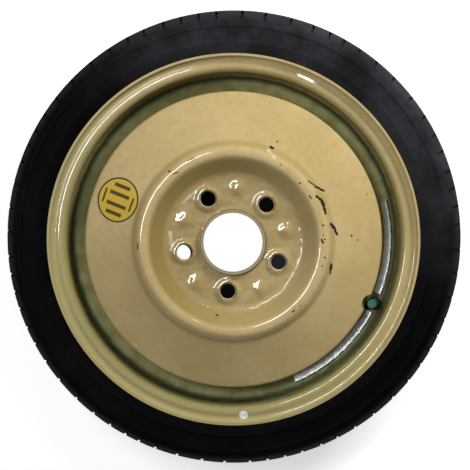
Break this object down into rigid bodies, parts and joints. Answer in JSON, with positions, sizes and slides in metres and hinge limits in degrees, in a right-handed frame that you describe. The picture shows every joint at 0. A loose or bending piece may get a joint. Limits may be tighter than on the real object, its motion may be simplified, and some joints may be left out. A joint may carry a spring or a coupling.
{
  "type": "spare wheel",
  "caption": "Narrow temporary spare car wheel: gold painted steel disc in a drop-centre rim, low-profile tyre, rubber valve with a screw cap and stick-on balance weights.",
  "frame": {"origin": "centre of the bolt circle, on the face that bolts to the hub", "axes": "+Z along the axle line towards the street side, +Y towards the top of the picture; the wheel lies on its inner sidewall"},
  "size_m": [0.515, 0.515, 0.144],
  "materials": {
    "tyre_rubber": "matt black rubber",
    "gold_paint": "semi-gloss gold paint, chipped",
    "weld_paint": "painted weld bead",
    "valve_rubber": "black rubber",
    "valve_brass": "turned brass",
    "seal_rubber": "black rubber",
    "spring_wire": "bright spring wire",
    "cap_plastic": "green moulded plastic",
    "weight_metal": "dull silver coating",
    "foam_tape": "grey foam tape",
    "label_film": "printed film"
  },
  "bodies": {
    "wheel": {"tyre": "tyre_rubber", "rim": "gold_paint", "disc": "gold_paint", "weld_runs": "weld_paint", "valve_body": "valve_rubber", "valve_stem": "valve_brass", "valve_core_gasket": "seal_rubber", "valve_core_plug": "valve_brass", "valve_core_spring": "spring_wire", "balance_weight_lower": "weight_metal", "balance_tape_lower": "foam_tape", "balance_weight_upper": "weight_metal", "balance_tape_upper": "foam_tape", "round_label": "label_film"},
    "cap_seal": {"valve_cap_seal": "seal_rubber"},
    "cap": {"valve_cap": "cap_plastic"},
    "core_pin": {"valve_core_pin": "valve_brass", "valve_core_seal": "seal_rubber"}
  },
  "joints": [
    {"name": "cap_lift", "type": "slide", "parent": "wheel", "child": "cap_seal", "axis": [-0.1892, 0.0862, 0.9781], "range_m": [0, 0.00953]},
    {"name": "cap_turn", "type": "hinge", "parent": "cap_seal", "child": "cap", "pos_m": [0.15967, -0.07276, -0.03656], "axis": [-0.1892, 0.0862, 0.9781], "range_deg": [0, 4321]},
    {"name": "pin_press", "type": "slide", "parent": "wheel", "child": "core_pin", "axis": [0.1892, -0.0862, -0.9781], "range_m": [0, 0.0012], "stiffness_N_per_m": 500, "springref_m": -0.002, "deforming": ["valve_core_spring"]}
  ],
  "couplings": [
    {"joint": "cap_turn", "follows": "cap_lift", "rad_per_m": 7915.8}
  ]
}
